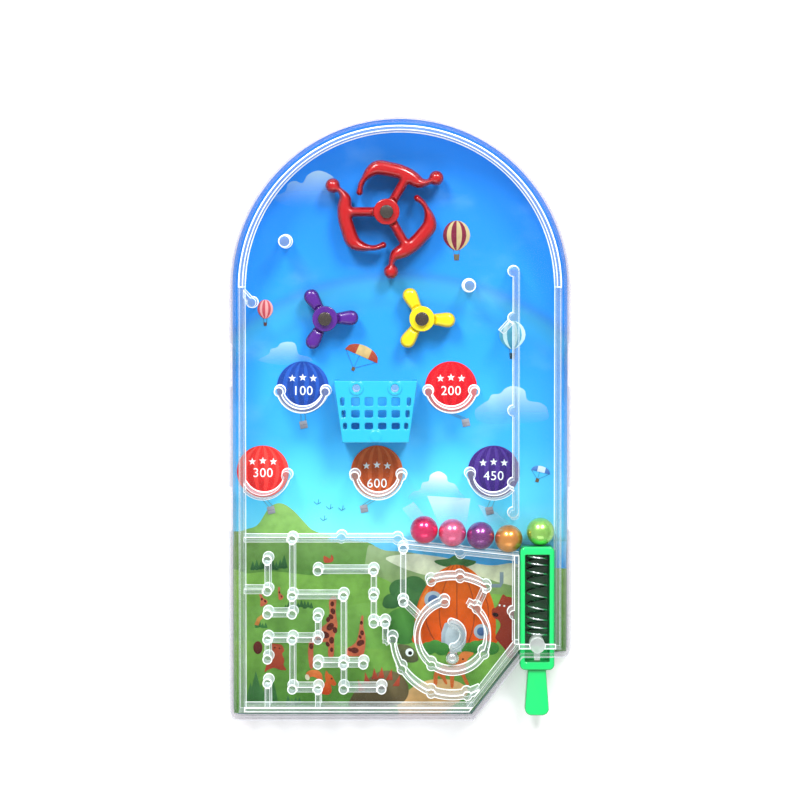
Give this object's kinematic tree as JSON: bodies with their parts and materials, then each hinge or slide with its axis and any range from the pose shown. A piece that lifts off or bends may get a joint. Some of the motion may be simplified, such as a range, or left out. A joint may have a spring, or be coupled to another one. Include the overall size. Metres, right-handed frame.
{
  "type": "pocket pinball and maze game",
  "caption": "Flat clear-cased pocket pinball game with an arched top, sprung plunger, launch lane, bead shelf, scoring cups, spinners, basket and a small ball maze.",
  "frame": {"origin": "middle of the case's outline, on the surface it lies on", "axes": "+X to the right of the playing face, +Y to the round top, +Z out of the playing face"},
  "size_m": [0.101, 0.178, 0.0148],
  "materials": {
    "clear_wall": "clear moulded polystyrene",
    "clear_post": "clear moulded polystyrene",
    "clear_tray": "clear moulded polystyrene",
    "clear_cover": "clear moulded polystyrene",
    "clear_band": "clear moulded polystyrene",
    "clear_back": "clear moulded polystyrene",
    "printed_card": "colour printed, satin",
    "basket_blue": "glossy",
    "rivet_clear": "clear moulded polystyrene",
    "spinner_red": "glossy",
    "propeller_purple": "glossy",
    "propeller_yellow": "glossy",
    "pin_steel": "polished",
    "plunger_green": "glossy",
    "spring_wire": "bright zinc",
    "pearl_green": "pearl lacquer",
    "pearl_gold": "pearl lacquer",
    "pearl_purple": "pearl lacquer",
    "pearl_pink": "pearl lacquer",
    "pearl_magenta": "pearl lacquer",
    "ball_steel": "polished"
  },
  "bodies": {
    "case": {"back_cover": "clear_back", "picture_card": "printed_card", "play_tray": "clear_tray", "arch_wall": "clear_wall", "left_wall": "clear_wall", "bottom_wall": "clear_wall", "corner_wall": "clear_wall", "right_wall": "clear_wall", "lane_bridge": "clear_wall", "side_band": "clear_band", "front_cover": "clear_cover", "snap_clips": "clear_band", "lane_wall": "clear_wall", "channel_wall": "clear_wall", "shelf": "clear_wall", "maze_walls": "clear_wall", "maze_posts": "clear_post", "ring_wall": "clear_wall", "upper_arc": "clear_wall", "lower_arc": "clear_wall", "hook_wall": "clear_wall", "cup_100": "clear_wall", "cup_200": "clear_wall", "cup_300": "clear_wall", "cup_600": "clear_wall", "cup_450": "clear_wall", "guide_pins": "clear_post", "deflectors": "clear_wall", "spring_stop": "clear_wall", "basket_front": "basket_blue", "basket_walls": "basket_blue", "basket_rivets": "rivet_clear", "spinner_pin": "pin_steel", "left_propeller_pin": "pin_steel", "right_propeller_pin": "pin_steel"},
    "spinner": {"spinner": "spinner_red"},
    "left_propeller": {"left_propeller": "propeller_purple"},
    "right_propeller": {"right_propeller": "propeller_yellow"},
    "plunger": {"plunger": "plunger_green", "plunger_spring": "spring_wire"},
    "launch_bead": {"bead_green": "pearl_green"},
    "gold_bead": {"bead_gold": "pearl_gold"},
    "purple_bead": {"bead_purple": "pearl_purple"},
    "pink_bead": {"bead_pink": "pearl_pink"},
    "magenta_bead": {"bead_magenta": "pearl_magenta"},
    "maze_ball": {"steel_ball": "ball_steel"}
  },
  "joints": [
    {"name": "spinner_turn", "type": "hinge", "parent": "case", "child": "spinner", "pos_m": [-0.0039, 0.0605, 0.006], "axis": [0, 0, 1], "continuous": true},
    {"name": "left_propeller_turn", "type": "hinge", "parent": "case", "child": "left_propeller", "pos_m": [-0.0219, 0.0293, 0.006], "axis": [0, 0, 1], "continuous": true},
    {"name": "right_propeller_turn", "type": "hinge", "parent": "case", "child": "right_propeller", "pos_m": [0.0064, 0.0293, 0.006], "axis": [0, 0, 1], "continuous": true},
    {"name": "plunger_pull", "type": "slide", "parent": "case", "child": "plunger", "axis": [0, -1, 0], "range_m": [0, 0.012], "stiffness_N_per_m": 40, "springref_m": -0.004, "deforming": ["plunger_spring"]},
    {"name": "launch_bead_run", "type": "slide", "parent": "case", "child": "launch_bead", "axis": [0, 1, 0], "range_m": [0, 0.074]},
    {"name": "gold_bead_roll", "type": "slide", "parent": "case", "child": "gold_bead", "axis": [-0.9945, 0.1045, 0], "range_m": [0, 0.002]},
    {"name": "purple_bead_roll", "type": "slide", "parent": "case", "child": "purple_bead", "axis": [-0.9945, 0.1045, 0], "range_m": [0, 0.002]},
    {"name": "pink_bead_roll", "type": "slide", "parent": "case", "child": "pink_bead", "axis": [-0.9945, 0.1045, 0], "range_m": [0, 0.002]},
    {"name": "magenta_bead_roll", "type": "slide", "parent": "case", "child": "magenta_bead", "axis": [-0.9945, 0.1045, 0], "range_m": [0, 0.002]},
    {"name": "maze_ball_roll", "type": "hinge", "parent": "case", "child": "maze_ball", "pos_m": [0.0154, -0.0636, 0.00485], "axis": [0, 0, 1], "range_deg": [-140, 105]}
  ],
  "couplings": [
    {"joint": "purple_bead_roll", "follows": "gold_bead_roll", "ratio": 1},
    {"joint": "pink_bead_roll", "follows": "gold_bead_roll", "ratio": 1},
    {"joint": "magenta_bead_roll", "follows": "gold_bead_roll", "ratio": 1}
  ]
}
